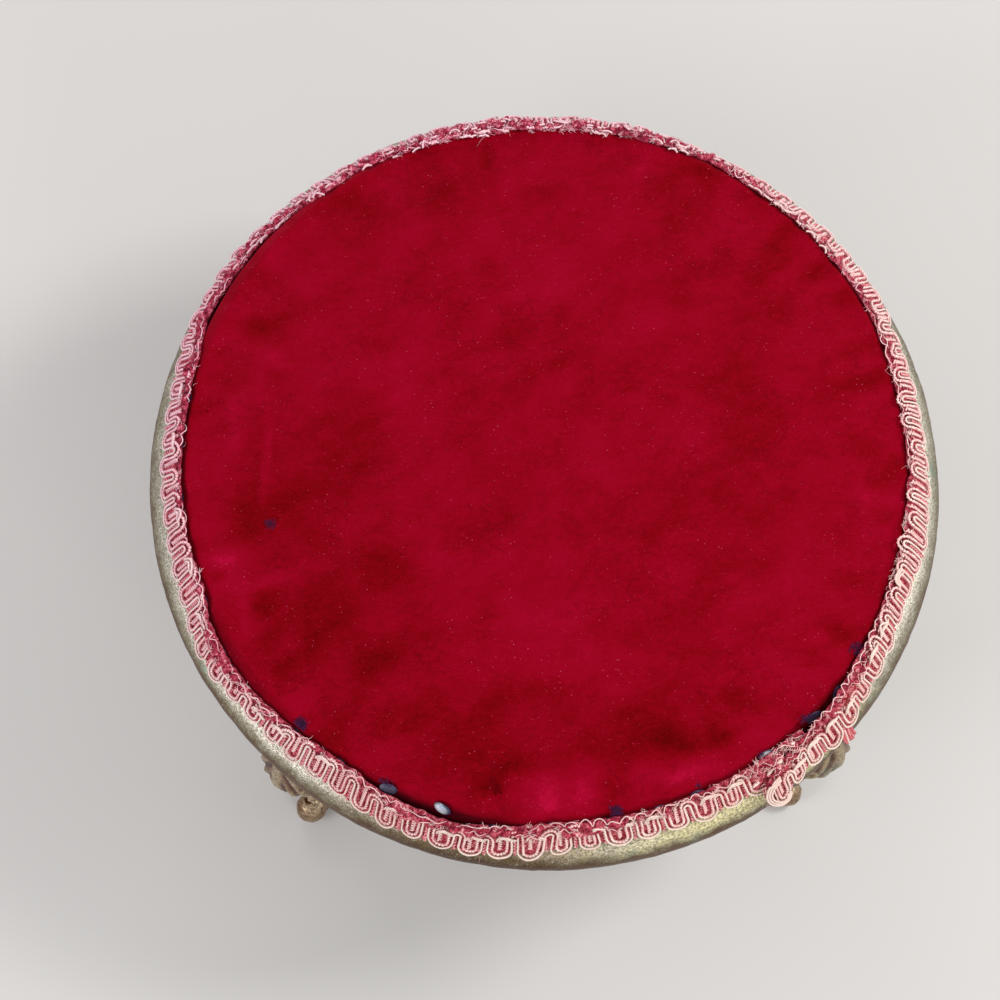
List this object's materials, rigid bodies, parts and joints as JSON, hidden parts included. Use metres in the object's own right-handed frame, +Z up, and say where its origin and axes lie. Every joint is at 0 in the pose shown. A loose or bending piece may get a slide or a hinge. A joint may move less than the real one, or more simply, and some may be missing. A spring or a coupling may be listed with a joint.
{
  "type": "round footstool",
  "caption": "Small round footstool: velvet pad edged with gimp braid and tacks, in a half-round brass rim on cast scroll legs with countersunk mounting screws.",
  "frame": {"origin": "on the floor, under the middle of the rim", "axes": "+Z up along the stool's axis; -Y towards the front of the picture, midway between the two legs that it shows; +X to the right"},
  "size_m": [0.27, 0.27, 0.155],
  "materials": {
    "rim_brass": "aged, grey-green, speckled",
    "leg_brass": "aged, brown in the hollows",
    "pine": "bare turned softwood",
    "hair": "curled hair",
    "wadding": "soft cotton",
    "calico": "plain unbleached weave",
    "velvet": "crimson cotton velvet, worn nap",
    "braid": "scroll gimp, cream and pink cords",
    "tack_steel": "blued steel",
    "screw_steel": "dull steel",
    "screw_brass": "dull brass",
    "cambric": "black glazed cambric"
  },
  "bodies": {
    "root": {"rim_ring": "rim_brass", "seat_board": "pine", "hair_stuffing": "hair", "cotton_wadding": "wadding", "calico_cover": "calico", "velvet_cover": "velvet", "gimp_braid": "braid", "cover_tacks": "tack_steel", "leg_front_left": "leg_brass", "leg_front_right": "leg_brass", "leg_back_left": "leg_brass", "leg_back_right": "leg_brass", "screws_front_left": "screw_steel", "screws_front_right": "screw_steel", "screws_back_left": "screw_steel", "screws_back_right": "screw_steel", "rim_screws": "screw_brass", "bottom_cloth": "cambric", "bottom_tacks": "tack_steel"}
  },
  "joints": []
}
